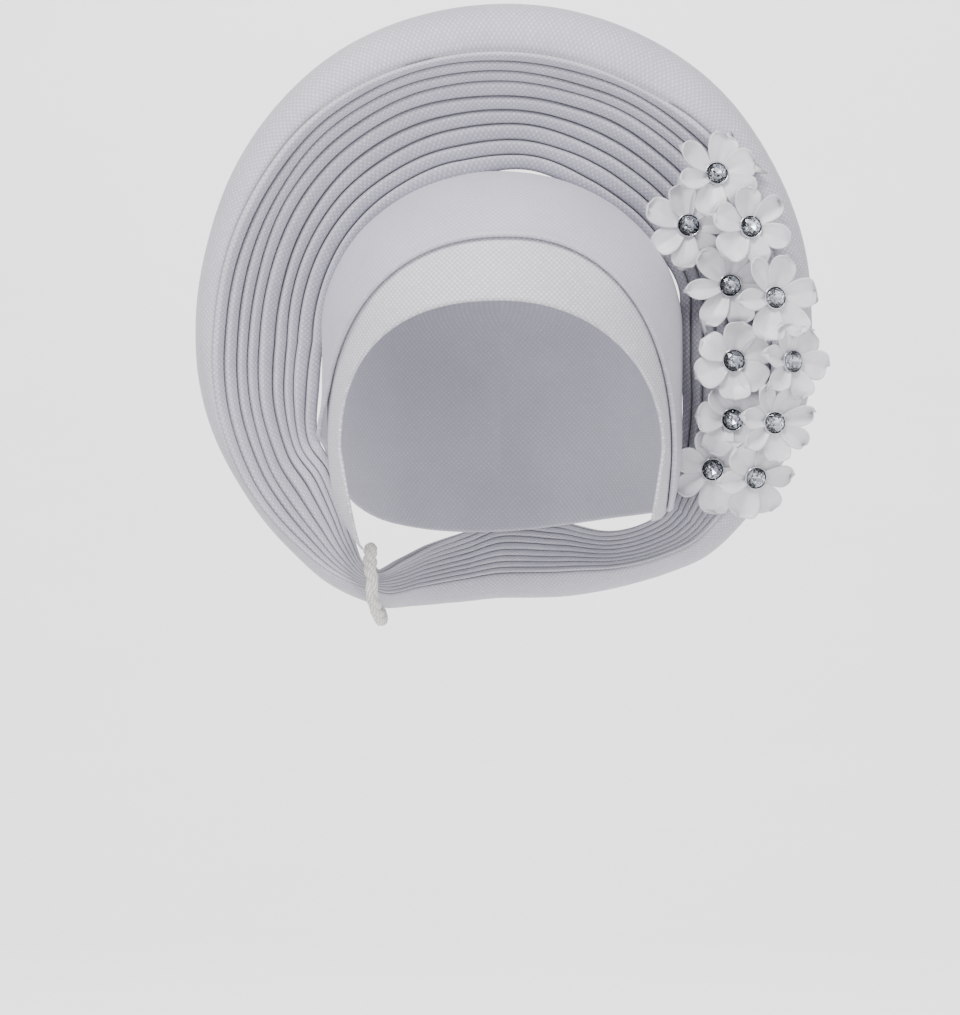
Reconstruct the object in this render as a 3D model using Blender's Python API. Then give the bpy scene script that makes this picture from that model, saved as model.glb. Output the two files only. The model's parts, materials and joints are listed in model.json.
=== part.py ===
"""A tied head wrap: a smooth crown cap over a forehead band, a wide pleated fan that stands round
the head, a twisted tie at the nape and a spray of satin flowers with faceted stones.

Metres, +Z up. The wearer faces -Y and the wearer's left is +X. The origin is the seat on top of
the head, which is the inner top of the crown cap.
"""

import math

import bmesh
import bpy
from mathutils import Vector
from mathutils.bvhtree import BVHTree

MM = 0.001
GAP = 0.3 * MM  # between pieces that touch

# The head form, at the inner face of the crown cap
HEAD_HALF_WIDTH = 79.2 * MM
HEAD_HALF_LENGTH = 95.2 * MM
CROWN_HEIGHT = 69.0 * MM  # from the widest level up to the seat
NAPE_DRAW = 0.17  # share of the length that the nape loses
NAPE_DROP = 67.0 * MM  # below the widest level, where it has lost it
CHEEK_DRAW = 0.16  # share of the width that the jaw loses
CHEEK_START = 30.0 * MM  # below the widest level, where that begins
CHEEK_DROP = 95.0 * MM
CHEEK_POWER = 4
DOME_SIDES = 36
DOME_TILTS = (12, 25, 39, 53, 67, 80, 90)  # degrees from the seat to the widest level
SKIRT_SHARES = (0.3, 0.57, 0.8, 1.0)  # rows from the widest level to the lower edge

# The lower edges of cap and band: their heights in millimetres, round from the face, in degrees
EDGE_COLUMNS = ("turn", "cap", "band")
LOWER_EDGES = (
    (0, -140.0, -143.0),
    (60, -152.0, -155.0),
    (90, -150.0, -154.0),
    (130, -153.0, -158.0),
    (180, -160.0, -163.0),
    (215, -158.0, -165.0),
    (240, -148.0, -167.0),
    (262, -120.0, -168.0),
    (300, -122.0, -168.0),
)

# Cloth thicknesses
CAP_WALL = 1.8 * MM
BAND_WALL = 1.4 * MM
FAN_WALL = 1.6 * MM
PLEAT_HEIGHT = 1.6 * MM
RIM_SWELL = 0.8 * MM

# Arches cut in the front, in millimetres: the face opening and the cap's hem
ARCH_COLUMNS = ("centre_x", "top", "spring", "left", "right", "left_power", "right_power",
                "foot_left", "foot_right")
FACE_ARCH = (-1.0, -60.9, -124.0, 71.3, 72.2, 2.4, 2.05, -61.0, 62.0)
HEM_ARCH = (2.0, -33.8, -128.0, 80.5, 72.6, 2.3, 2.2, -80.0, 70.0)
BAND_UNDERLAP = 13.0 * MM  # the band runs on under the cap by this much
ARCH_STEPS = 7
ARCH_FRONT_Y = -130.0 * MM
ARCH_BACK_Y = -12.0 * MM
ARCH_FOOT = -185.0 * MM

# The fan: sections round an axis along Y through its centre, in degrees and millimetres.
# inner, fold and rim are radii of the inner edge, the first fold and the outline. inner_y and
# crest_y are the depths of the inner edge and of the rim's crest, roll is the half depth of
# the rolled rim, and stand is how far the inner edge stands off the cap.
FAN_CENTRE = (1.35 * MM, -64.8 * MM)
FAN_COLUMNS = ("angle", "inner", "fold", "rim", "inner_y", "crest_y", "roll", "stand")
FAN_SECTIONS = (
    (0, 77.0, 122.2, 137.2, 12, -18, 18, 0.0),
    (12, 75.0, 122.2, 137.8, 12, -19, 18, 2.5),
    (30, 73.0, 122.8, 138.6, 11, -21, 19, 0.0),
    (45, 69.0, 121.1, 140.6, 10, -22, 20, 0.0),
    (60, 66.0, 118.1, 141.2, 10, -22, 20, 0.0),
    (82, 65.0, 117.6, 141.3, 10, -22, 20, 3.0),
    (105, 66.0, 119.0, 141.3, 10, -22, 20, 0.0),
    (120, 69.0, 121.1, 141.5, 10, -22, 20, 0.0),
    (135, 72.0, 123.5, 140.3, 10, -21, 20, 0.0),
    (150, 75.0, 124.5, 138.9, 10, -20, 19, 0.0),
    (165, 78.0, 126.5, 137.5, 11, -18, 18, 0.0),
    (180, 80.5, 128.9, 138.5, 12, -16, 18, 0.0),
    (190, 84.2, 132.0, 139.7, 12, -15, 18, 0.0),
    (200, 89.6, 134.8, 140.2, 12, -14, 18, 0.0),
    (212, 99.5, 137.0, 140.0, 13, -12, 17, 0.0),
    (220, 101.5, 137.4, 140.5, 14, -10, 16, 0.0),
    (228, 109.0, 137.2, 140.9, 15, -8, 14, 0.0),
    (235, 119.5, 137.4, 142.0, 16, -5, 12, 0.0),
    (240, 127.0, 136.3, 141.5, 17, -1, 9.5, 0.0),
    (243.5, 127.5, 135.0, 140.8, 24, 6, 8.5, 0.0),
    (247, 118.0, 134.0, 140.8, 44, 30, 9, 0.0),
    (252, 107.0, 127.0, 136.0, 61, 52, 8, 0.0),
    (260, 97.0, 119.5, 130.0, 72, 66, 8, 0.0),
    (270, 88.0, 114.5, 126.0, 73.5, 68, 8, 0.0),
    (285, 94.0, 117.5, 129.0, 69, 56, 10, 0.0),
    (296, 106.5, 124.0, 132.5, 53, 36, 12, 0.0),
    (304, 111.5, 128.5, 136.5, 41, 23, 13, 0.0),
    (311, 112.0, 131.4, 140.1, 32, 9, 15, 0.0),
    (320, 103.0, 130.4, 140.3, 24, -3, 16, 0.0),
    (330, 93.0, 129.1, 140.0, 18, -9, 16, 0.0),
    (345, 82.5, 124.9, 140.1, 13, -15, 17, 0.0),
)
FOLD_SHARES = (0.115, 0.24, 0.355, 0.47, 0.605, 0.72, 0.81, 0.905, 1.0)
DISH_POWER = 1.8  # the dish steepens towards the rim
RIM_ROUNDING = 0.68  # the roll's radius, as a share of the rim's width
RIM_LEAST = 3.4 * MM
ROLL_END = -65.0  # degrees past the outline at which the rim's hem lies
RIM_STEPS = (0.02, 0.12, 0.3, 0.5, 0.68, 0.84, 1.0)
BACK_RIM_STEPS = (1.0, 0.75, 0.5, 0.3)
BACK_DISH_STEPS = (0.93, 0.82, 0.68, 0.5, 0.3, 0.14, 0.0)
CREASE_SHARE = 0.008  # half the width of a crease, as a share of the pleated zone
WIDE_STEP = 6.5  # degrees between sections
FINE_STEP = 2.5
FINE_FROM = 234.0  # the stretch that is gathered
FINE_TO = 264.0

# The tie goes round the gathered end at this angle, and leans by this much to its two ends
TIE_ANGLE = 243.4
TIE_LEAN = 4.0
TIE_SPAN = 1.5  # degrees to each side that it has to clear
TIE_RADIUS = 2.3 * MM
TIE_LOBE = 0.3  # two strands, as a share of the radius
TIE_SIDES = 8
TIE_STEPS = 30
TIE_TURNS = 5
TIE_SQUARENESS = 3.0

# The flowers: x and z of the stone, how far the petals reach, how far the flower stands in
# front of the fan, all in millimetres, its facing in degrees, its petals and their turn
FLOWER_COLUMNS = ("x", "z", "reach", "stand", "right", "up", "petals", "spin")
FLOWERS = (
    (94.2, -1.8, 21.0, 14.5, 12, 12, 6, 20),
    (83.2, -23.3, 21.0, 15.0, 2, 6, 7, 5),
    (109.2, -25.1, 19.5, 13.5, 14, 6, 6, 40),
    (101.2, -50.1, 20.0, 15.0, 8, 2, 7, 30),
    (119.7, -56.3, 20.0, 11.0, 20, 2, 6, 10),
    (103.0, -83.5, 18.0, 15.0, 6, 0, 6, 25),
    (127.2, -84.4, 17.0, 10.0, 30, 0, 6, 50),
    (102.6, -109.4, 17.5, 14.0, 6, -4, 6, 0),
    (119.7, -111.2, 18.0, 11.0, 18, -4, 7, 15),
    (94.2, -131.4, 19.0, 14.0, 4, -10, 6, 35),
    (111.8, -135.3, 18.0, 10.0, 20, -12, 6, 5),
)
PETAL_SAMPLES = 3  # corners of each petal's outline
PETAL_NOTCH = 0.66  # where two petals meet, as a share of the reach
PETAL_WALL = 1.2 * MM
PETAL_MIDDLE = 0.6  # where a petal is highest, as a share of the reach
PETAL_CUP = 2.4 * MM  # how high the petals' middles stand
PETAL_DROOP = 1.5 * MM  # how far their tips hang back
PETAL_CLEAR = 1.1 * MM  # from the fan's pleats and rim
FLOWER_SEAT = 5.4 * MM
CALYX_RADIUS = 4.0 * MM
CALYX_HEIGHT = 2.8 * MM

# The cup and its stone
CUP_SIDES = 10
CUP_OUTER = 5.3 * MM
CUP_INNER = 4.5 * MM
CUP_HEIGHT = 2.6 * MM
CUP_FLOOR_RADIUS = 1.5 * MM
CUP_FLOOR = 0.9 * MM
STONE_RADIUS = 4.2 * MM
STONE_TABLE = 2.4 * MM
STONE_CULET = 1.5 * MM
STONE_GIRDLE = 2.8 * MM
STONE_TOP = 4.0 * MM
STONE_SIDES = 16
TABLE_SIDES = 8

CLOTH = ((0.72, 0.72, 0.76), 0.55, 0.0)
BAND_CLOTH = ((0.76, 0.76, 0.79), 0.55, 0.0)
TIE_CORD = ((0.80, 0.79, 0.76), 0.5, 0.0)
SATIN = ((0.82, 0.81, 0.83), 0.4, 0.0)
CHROME = ((0.62, 0.62, 0.64), 0.15, 1.0)
CRYSTAL = ((0.85, 0.87, 0.9), 0.05, 0.0)


def clear_scene():
    for item in list(bpy.data.objects):
        bpy.data.objects.remove(item, do_unlink=True)


def material(name, finish):
    colour, roughness, metallic = finish
    made = bpy.data.materials.new(name)
    made.use_nodes = True
    shader = made.node_tree.nodes["Principled BSDF"]
    shader.inputs["Base Color"].default_value = (*colour, 1.0)
    shader.inputs["Roughness"].default_value = roughness
    shader.inputs["Metallic"].default_value = metallic
    return made


def add_object(name, form, finish):
    """An object from a bmesh, with its faces pointing out and a material of its own."""
    bmesh.ops.recalc_face_normals(form, faces=form.faces)
    mesh = bpy.data.meshes.new(name)
    form.to_mesh(mesh)
    form.free()
    made = bpy.data.objects.new(name, mesh)
    made.data.materials.append(material(name + "_finish", finish))
    bpy.context.scene.collection.objects.link(made)
    return made


def closed_rings(rings):
    """A closed form through rings of points, each ring closed, the last joined to the first."""
    form = bmesh.new()
    rows = [[form.verts.new(point) for point in ring] for ring in rings]
    for row, after in zip(rows, rows[1:] + rows[:1]):
        for k, corner in enumerate(row):
            n = (k + 1) % len(row)
            form.faces.new((corner, row[n], after[n], after[k]))
    return form


def capped_rings(rings):
    """A closed form through rings of points, with a flat face on the first and the last."""
    form = bmesh.new()
    rows = [[form.verts.new(point) for point in ring] for ring in rings]
    for row, after in zip(rows, rows[1:]):
        for k, corner in enumerate(row):
            n = (k + 1) % len(row)
            form.faces.new((corner, row[n], after[n], after[k]))
    form.faces.new(rows[0])
    form.faces.new(rows[-1])
    return form


# The head form and the two pieces that fit it


def dome_point(turn, tilt, outward):
    """A point above the widest level: turn goes round from the face, tilt down from the seat."""
    share = math.sin(tilt)
    x = (HEAD_HALF_WIDTH + outward) * share * math.sin(turn)
    y = -(HEAD_HALF_LENGTH + outward) * share * math.cos(turn)
    return Vector((x, y, (CROWN_HEIGHT + outward) * math.cos(tilt) - CROWN_HEIGHT))


def skirt_point(turn, z, outward):
    """A point below the widest level, where cheeks and nape draw in."""
    drop = -CROWN_HEIGHT - z
    x = (HEAD_HALF_WIDTH + outward) * math.sin(turn)
    y = -(HEAD_HALF_LENGTH + outward) * math.cos(turn)
    lower = max(0.0, drop - CHEEK_START) / (CHEEK_DROP - CHEEK_START)
    x *= 1 - CHEEK_DRAW * lower**CHEEK_POWER
    if y > 0:
        y *= 1 - NAPE_DRAW * (drop / NAPE_DROP) ** 2
    return Vector((x, y, z))


def read_table(rows, columns, angle):
    """The values of a table's columns at an angle, read smoothly all round, in metres."""
    count = len(rows)
    angle = angle % 360
    k = max(i for i in range(count) if rows[i][0] <= angle)
    picks = [rows[(k + i - 1) % count] for i in range(4)]
    places = [picks[i][0] + 360 * ((k + i - 1) // count) for i in range(4)]
    span = places[2] - places[1]
    at = (angle - places[1]) / span
    values = {}
    for column, name in enumerate(columns[1:], 1):
        a, b, c, d = (row[column] for row in picks)
        leave = span * (c - a) / (places[2] - places[0])
        arrive = span * (d - b) / (places[3] - places[1])
        value = (
            (2 * at**3 - 3 * at**2 + 1) * b
            + (at**3 - 2 * at**2 + at) * leave
            + (3 * at**2 - 2 * at**3) * c
            + (at**3 - at**2) * arrive
        )
        values[name] = value * MM
    return values


def lower_edge(piece, turn):
    return read_table(LOWER_EDGES, EDGE_COLUMNS, math.degrees(turn))[piece]


def head_shell(name, outward, wall, edge, finish):
    """The head form as a cloth wall, down to the lower edge of one of the pieces."""
    form = bmesh.new()
    seat = form.verts.new((0, 0, outward))
    turns = [math.tau * k / DOME_SIDES for k in range(DOME_SIDES)]
    rows = [[dome_point(turn, math.radians(tilt), outward) for turn in turns] for tilt in DOME_TILTS]
    for share in SKIRT_SHARES:
        row = []
        for turn in turns:
            fall = (lower_edge(edge, turn) + CROWN_HEIGHT) * share
            row.append(skirt_point(turn, fall - CROWN_HEIGHT, outward))
        rows.append(row)
    rows = [[form.verts.new(point) for point in row] for row in rows]
    for k in range(DOME_SIDES):
        n = (k + 1) % DOME_SIDES
        form.faces.new((seat, rows[0][k], rows[0][n]))
        for row, below in zip(rows, rows[1:]):
            form.faces.new((row[k], below[k], below[n], row[n]))
    made = add_object(name, form, finish)
    thick = made.modifiers.new("wall", "SOLIDIFY")
    thick.thickness = wall
    thick.offset = 1.0
    thick.use_even_offset = True
    return made


def arch_outline(arch, grow):
    """The outline of an arch, from its left foot over the top to its right foot."""
    size = dict(zip(ARCH_COLUMNS, arch))
    rise = (size["top"] - size["spring"]) * MM + grow
    points = [(size["foot_left"] * MM - grow, ARCH_FOOT)]
    for side, half, power in ((-1, "left", "left_power"), (1, "right", "right_power")):
        angles = [90 * k / ARCH_STEPS for k in range(ARCH_STEPS + 1)]
        if side > 0:
            angles = angles[::-1][1:]
        for angle in angles:
            across = math.cos(math.radians(angle)) ** (2 / size[power])
            up = math.sin(math.radians(angle)) ** (2 / size[power])
            x = size["centre_x"] * MM + side * (size[half] * MM + grow) * across
            points.append((x, size["spring"] * MM + rise * up))
    points.append((size["foot_right"] * MM + grow, ARCH_FOOT))
    return points


def arch_cutter(name, arch, grow):
    """An arch-shaped prism through the front of the head form."""
    outline = arch_outline(arch, grow)
    form = capped_rings([[(x, y, z) for x, z in outline] for y in (ARCH_FRONT_Y, ARCH_BACK_Y)])
    cutter = add_object(name, form, BAND_CLOTH)
    cutter.hide_render = True
    cutter.display_type = "WIRE"
    return cutter


def cut(piece, cutter, operation):
    step = piece.modifiers.new(cutter.name, "BOOLEAN")
    step.object = cutter
    step.operation = operation
    step.solver = "EXACT"


def build_crown_cap():
    cap = head_shell("crown_cap", 0.0, CAP_WALL, "cap", CLOTH)
    cut(cap, arch_cutter("hem_arch", HEM_ARCH, 0.0), "DIFFERENCE")


def build_forehead_band():
    inward = -(BAND_WALL + GAP + 0.1 * MM)
    band = head_shell("forehead_band", inward, BAND_WALL, "band", BAND_CLOTH)
    cut(band, arch_cutter("band_arch", HEM_ARCH, BAND_UNDERLAP), "INTERSECT")
    cut(band, arch_cutter("face_arch", FACE_ARCH, 0.0), "DIFFERENCE")


# The pleated fan


def section(angle):
    """The sizes of the fan's section at an angle."""
    sizes = read_table(FAN_SECTIONS, FAN_COLUMNS, angle)
    sizes["angle"] = math.radians(angle)
    sizes["inner"] = max(sizes["inner"], cap_radius(sizes))
    return sizes


def cap_radius(sizes):
    """Where the ray of a section leaves the cap in the plane of the fan's inner edge."""
    outward = CAP_WALL + GAP + max(0.0, sizes["stand"])
    near, far = 30 * MM, 130 * MM
    for _ in range(30):
        middle = (near + far) / 2
        x = FAN_CENTRE[0] + middle * math.cos(sizes["angle"])
        z = FAN_CENTRE[1] + middle * math.sin(sizes["angle"])
        if z < lower_edge("cap", math.atan2(x, -sizes["inner_y"])):
            return 0.0
        rise = max(0.0, z + CROWN_HEIGHT) / (CROWN_HEIGHT + outward)
        across = x / (HEAD_HALF_WIDTH + outward)
        along = sizes["inner_y"] / (HEAD_HALF_LENGTH + outward)
        if rise**2 + across**2 + along**2 < 1:
            near = middle
        else:
            far = middle
    return far


def in_cap(point):
    """Whether a point lies in the cap, or nearer to it than the gap."""
    outward = CAP_WALL + GAP
    rise = max(0.0, point.z + CROWN_HEIGHT) / (CROWN_HEIGHT + outward)
    across = point.x / (HEAD_HALF_WIDTH + outward)
    along = point.y / (HEAD_HALF_LENGTH + outward)
    return rise**2 + across**2 + along**2 < 1


def place(sizes, radius, y):
    x = FAN_CENTRE[0] + radius * math.cos(sizes["angle"])
    z = FAN_CENTRE[1] + radius * math.sin(sizes["angle"])
    return Vector((x, y, z))


def rim_curve(sizes):
    """The roll of the rim: its radius, its centre and the angle at which it meets the folds."""
    radius = RIM_ROUNDING * (sizes["rim"] - sizes["fold"]) + RIM_LEAST
    centre = sizes["rim"] - radius
    start = math.acos(max(-1.0, min(1.0, (sizes["fold"] - centre) / radius)))
    return radius, centre, start


def rim_place(sizes, step):
    radius, centre, start = rim_curve(sizes)
    turn = start + (math.radians(ROLL_END) - start) * step
    y = sizes["crest_y"] + sizes["roll"] * (1 - math.sin(turn))
    return place(sizes, centre + radius * math.cos(turn), y)


def dish_place(sizes, share):
    start = rim_curve(sizes)[2]
    fold_y = sizes["crest_y"] + sizes["roll"] * (1 - math.sin(start))
    y = sizes["inner_y"] + (fold_y - sizes["inner_y"]) * share**DISH_POWER
    return place(sizes, sizes["inner"] + (sizes["fold"] - sizes["inner"]) * share, y)


def surface(angle, kind, at, height):
    """A point of the fan's surface, raised towards the viewer by a height."""
    pick = rim_place if kind == "rim" else dish_place
    small = 0.01
    low, high = max(0.0, at - small), min(1.0, at + small)
    here = section(angle)
    outward = pick(here, high) - pick(here, low)
    around = pick(section(angle + 0.5), at) - pick(section(angle - 0.5), at)
    return pick(here, at) + outward.cross(around).normalized() * height


def pleat_height(sizes):
    return min(PLEAT_HEIGHT, 0.3 * (sizes["fold"] - sizes["inner"]) / len(FOLD_SHARES))


def fan_ring(angle):
    """One closed section of the fan: pleats and rim in front, a plain wall behind."""
    height = pleat_height(section(angle))
    ring = [surface(angle, "dish", 0.0, height / 2)]
    for share in FOLD_SHARES:
        ring.append(surface(angle, "dish", share - CREASE_SHARE, height))
        if share < 1:
            ring.append(surface(angle, "dish", share + CREASE_SHARE, 0.0))
    for step in RIM_STEPS:
        swell = RIM_SWELL * math.sin(math.pi * min(0.9, step + 0.1)) if step > 0.05 else 0.0
        ring.append(surface(angle, "rim", step, swell))
    ring += [surface(angle, "rim", step, -FAN_WALL) for step in BACK_RIM_STEPS]
    ring += [surface(angle, "dish", share, -FAN_WALL) for share in BACK_DISH_STEPS]
    return ring


def fan_angles():
    angles = []
    for start, end, step in ((FINE_TO - 360, FINE_FROM, WIDE_STEP), (FINE_FROM, FINE_TO, FINE_STEP)):
        count = round((end - start) / step)
        angles += [start + (end - start) * k / count for k in range(count)]
    return angles


def build_pleated_fan():
    """The fan, and the tree of its faces that the flowers are seated on."""
    form = closed_rings([fan_ring(angle) for angle in fan_angles()])
    faces = BVHTree.FromBMesh(form)
    add_object("pleated_fan", form, CLOTH)
    return faces


def gathered_size(angle):
    """The middle and the half extents of the gathered cloth near an angle, out and along Y."""
    centre_line = Vector((FAN_CENTRE[0], 0, FAN_CENTRE[1]))
    radial = Vector((math.cos(math.radians(angle)), 0, math.sin(math.radians(angle))))
    turns = (-TIE_SPAN, 0.0, TIE_SPAN)
    held = [point - centre_line for turn in turns for point in fan_ring(angle + turn)]
    radii = [point.dot(radial) for point in held]
    depths = [point.y for point in held]
    middle = ((min(radii) + max(radii)) / 2, (min(depths) + max(depths)) / 2)
    half = ((max(radii) - min(radii)) / 2, (max(depths) - min(depths)) / 2)
    widest = max(
        abs((out - middle[0]) / half[0]) ** TIE_SQUARENESS
        + abs((y - middle[1]) / half[1]) ** TIE_SQUARENESS
        for out, y in zip(radii, depths)
    )
    grow = widest ** (1 / TIE_SQUARENESS)
    return middle, (half[0] * grow, half[1] * grow)


def tie_point(turn):
    """A place on the tie's path, clear of the gathered cloth."""
    angle = TIE_ANGLE + TIE_LEAN * math.cos(turn)
    middle, half = gathered_size(angle)
    room = TIE_RADIUS * (1 + TIE_LOBE) + GAP
    across = math.copysign(abs(math.cos(turn)) ** (2 / TIE_SQUARENESS), math.cos(turn))
    back = math.copysign(abs(math.sin(turn)) ** (2 / TIE_SQUARENESS), math.sin(turn))
    sizes = {"angle": math.radians(angle)}
    return place(sizes, middle[0] + (half[0] + room) * across, middle[1] + (half[1] + room) * back)


def build_nape_tie():
    """Two twisted strands in a closed loop round the gathered end of the fan."""
    angle = math.radians(TIE_ANGLE)
    along = Vector((-math.sin(angle), 0, math.cos(angle)))
    rings = []
    for k in range(TIE_STEPS):
        turn = math.tau * k / TIE_STEPS
        tangent = (tie_point(turn + 0.05) - tie_point(turn - 0.05)).normalized()
        side = tangent.cross(along).normalized()
        upright = side.cross(tangent)
        points = []
        for corner in range(TIE_SIDES):
            around = math.tau * corner / TIE_SIDES
            lobe = 1 + TIE_LOBE * math.cos(2 * around - TIE_TURNS * turn)
            offset = side * math.cos(around) + upright * math.sin(around)
            points.append(tie_point(turn) + offset * TIE_RADIUS * lobe)
        rings.append(points)
    add_object("nape_tie", closed_rings(rings), TIE_CORD)


# The flowers, their cups and stones


def fan_front(x, z):
    """The depth of the pleats' front at a place in the front view."""
    dx, dz = x - FAN_CENTRE[0], z - FAN_CENTRE[1]
    radius = math.hypot(dx, dz)
    sizes = section(math.degrees(math.atan2(dz, dx)))
    height = RIM_SWELL if radius > sizes["fold"] + GAP else pleat_height(sizes)
    curve_radius, centre, start = rim_curve(sizes)
    if radius > sizes["rim"] - 0.3 * MM:
        return sizes["crest_y"] + sizes["roll"]
    if radius > sizes["fold"]:
        turn = math.acos((radius - centre) / curve_radius)
        slope = sizes["roll"] * math.cos(turn) / (curve_radius * math.sin(turn))
        y = sizes["crest_y"] + sizes["roll"] * (1 - math.sin(turn))
    else:
        share = max(0.0, (radius - sizes["inner"]) / (sizes["fold"] - sizes["inner"]))
        fold_y = sizes["crest_y"] + sizes["roll"] * (1 - math.sin(start))
        slope = (fold_y - sizes["inner_y"]) * DISH_POWER * share ** (DISH_POWER - 1)
        slope /= sizes["fold"] - sizes["inner"]
        y = sizes["inner_y"] + (fold_y - sizes["inner_y"]) * share**DISH_POWER
    return y - height * math.sqrt(1 + slope**2)


def flower_frame(row):
    """The middle of a flower and its axes: facing, right and up."""
    size = dict(zip(FLOWER_COLUMNS, row))
    right, up = math.radians(size["right"]), math.radians(size["up"])
    facing = Vector((math.sin(right) * math.cos(up), -math.cos(right) * math.cos(up), math.sin(up)))
    across = Vector((0, 0, 1)).cross(facing).normalized()
    upward = facing.cross(across)
    x, z = size["x"] * MM, size["z"] * MM
    middle = Vector((x, fan_front(x, z) - size["stand"] * MM, z))
    return middle, facing, across, upward


def petal_reach(angle, size):
    """How far the petals reach at an angle round the flower."""
    corner = round((angle - math.radians(size["spin"])) * size["petals"] * PETAL_SAMPLES / math.tau)
    share = PETAL_NOTCH if corner % PETAL_SAMPLES == 0 else 1.0
    return size["reach"] * MM * share


def crowded(index, point):
    """Whether a point of a flower lies in the cap or on a neighbour's side."""
    middle = flower_frame(FLOWERS[index])[0]
    for other, row in enumerate(FLOWERS):
        if other == index:
            continue
        away = flower_frame(row)[0] - middle
        share = FLOWERS[index][2] / (FLOWERS[index][2] + row[2])
        if (point - middle).dot(away) / away.length > share * away.length - GAP:
            return True
    return in_cap(point)


def behind(fan, point, facing):
    """How far a point lies in front of the fan, along a flower's axis."""
    distance = fan.ray_cast(point, -facing)[3]
    return math.inf if distance is None else distance


def build_flower(index, row, fan):
    size = dict(zip(FLOWER_COLUMNS, row))
    middle, facing, across, upward = flower_frame(row)
    count = size["petals"] * PETAL_SAMPLES
    angles = [math.radians(size["spin"]) + math.tau * k / count for k in range(count)]
    directions = [across * math.cos(angle) + upward * math.sin(angle) for angle in angles]

    def petal_place(k, share, height):
        """A petal's point, pulled in where it is crowded and kept in front of the fan."""
        radius = petal_reach(angles[k], size) * share
        while True:
            point = middle + directions[k] * radius + facing * height
            depth = height + PETAL_DROOP + PETAL_WALL + PETAL_CLEAR
            point.y = min(point.y, fan_front(point.x, point.z) - depth)
            if radius < FLOWER_SEAT * (1 + 0.2 * share) or not crowded(index, point):
                return point
            radius -= 0.5 * MM

    seat = [middle + direction * FLOWER_SEAT for direction in directions]
    calyx = [middle + direction * CALYX_RADIUS for direction in directions]
    foot = min(behind(fan, point, facing) for point in calyx + [middle]) - GAP
    rings = [
        seat,
        [petal_place(k, PETAL_MIDDLE, PETAL_CUP) for k in range(count)],
        [petal_place(k, 1.0, -PETAL_DROOP) for k in range(count)],
        [petal_place(k, 1.0, -PETAL_DROOP - PETAL_WALL) for k in range(count)],
        [point - facing * CALYX_HEIGHT for point in calyx],
        [point - facing * foot for point in calyx],
    ]
    add_object(f"flower_{index + 1:02d}", capped_rings(rings), SATIN)


def turned(middle, axes, sides, rows):
    """Rings of points round a flower's axis, from radii and heights."""
    facing, across, upward = axes
    rings = []
    for radius, height in rows:
        ring = []
        for k in range(sides):
            angle = math.tau * k / sides
            direction = across * math.cos(angle) + upward * math.sin(angle)
            ring.append(middle + direction * radius + facing * height)
        rings.append(ring)
    return rings


def build_setting(index, row):
    middle, *axes = flower_frame(row)
    rows = (
        (CUP_OUTER - 0.2 * MM, GAP),
        (CUP_OUTER, CUP_HEIGHT),
        (CUP_INNER, CUP_HEIGHT),
        (CUP_FLOOR_RADIUS, CUP_FLOOR),
    )
    form = capped_rings(turned(middle, axes, CUP_SIDES, rows))
    add_object(f"setting_{index + 1:02d}", form, CHROME)


def build_stone(index, row):
    """A round stone: a table, a crown of facets, a girdle and a pointed back."""
    middle, *axes = flower_frame(row)
    girdle, = turned(middle, axes, STONE_SIDES, ((STONE_RADIUS, STONE_GIRDLE),))
    table, = turned(middle, axes, TABLE_SIDES, ((STONE_TABLE, STONE_TOP),))
    form = bmesh.new()
    belt = [form.verts.new(point) for point in girdle]
    top = [form.verts.new(point) for point in table]
    culet = form.verts.new(middle + axes[0] * STONE_CULET)
    form.faces.new(top)
    for k in range(TABLE_SIDES):
        n = (k + 1) % TABLE_SIDES
        left, mid, right = belt[2 * k], belt[2 * k + 1], belt[(2 * k + 2) % STONE_SIDES]
        form.faces.new((top[k], left, mid))
        form.faces.new((top[k], mid, top[n]))
        form.faces.new((top[n], mid, right))
    for k in range(STONE_SIDES):
        form.faces.new((belt[k], culet, belt[(k + 1) % STONE_SIDES]))
    add_object(f"stone_{index + 1:02d}", form, CRYSTAL)


clear_scene()
build_crown_cap()
build_forehead_band()
fan_faces = build_pleated_fan()
build_nape_tie()
for number, flower in enumerate(FLOWERS):
    build_flower(number, flower, fan_faces)
    build_setting(number, flower)
    build_stone(number, flower)
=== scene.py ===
# %% [markdown]
# # A ready-tied head wrap
# A gele is a stiff woven cloth that is pleated, wrapped round the head and pinned. This one keeps
# the form in which it is worn: a smooth crown cap over a forehead band, a wide pleated fan round
# the head, a twisted tie at the nape and a spray of satin flowers with clear stones. The solids
# that came with the frame give every piece its place. Here each one gets its cloth.

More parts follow.
